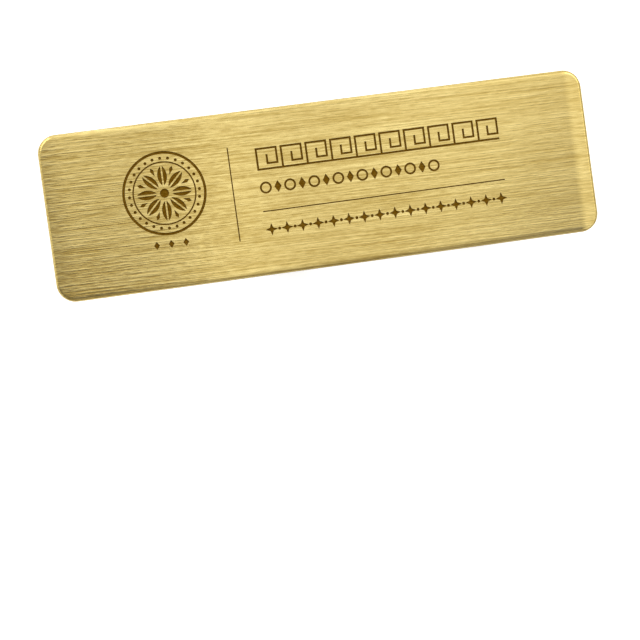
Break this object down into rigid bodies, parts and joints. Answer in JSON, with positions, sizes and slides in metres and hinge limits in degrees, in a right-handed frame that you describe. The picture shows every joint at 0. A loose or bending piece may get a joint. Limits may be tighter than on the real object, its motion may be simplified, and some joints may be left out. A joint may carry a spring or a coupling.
{
  "type": "name badge",
  "caption": "Rectangular brushed brass name badge with rounded corners, an engraved rosette, rules and ornament bands on its face, and a pin bar on its flat back.",
  "frame": {"origin": "on the surface that the badge lies on, under the middle of the plate", "axes": "+X along the plate to its right end as its face is read, +Y to its upper long edge, +Z out of its engraved face"},
  "size_m": [0.076, 0.0228, 0.0063],
  "materials": {
    "brass": "brushed along its length, satin, with dark brown engraving",
    "nickel": "nickel-plated steel, semi-bright"
  },
  "bodies": {
    "root": {"badge_plate": "brass", "pin_bar": "nickel"}
  },
  "joints": []
}
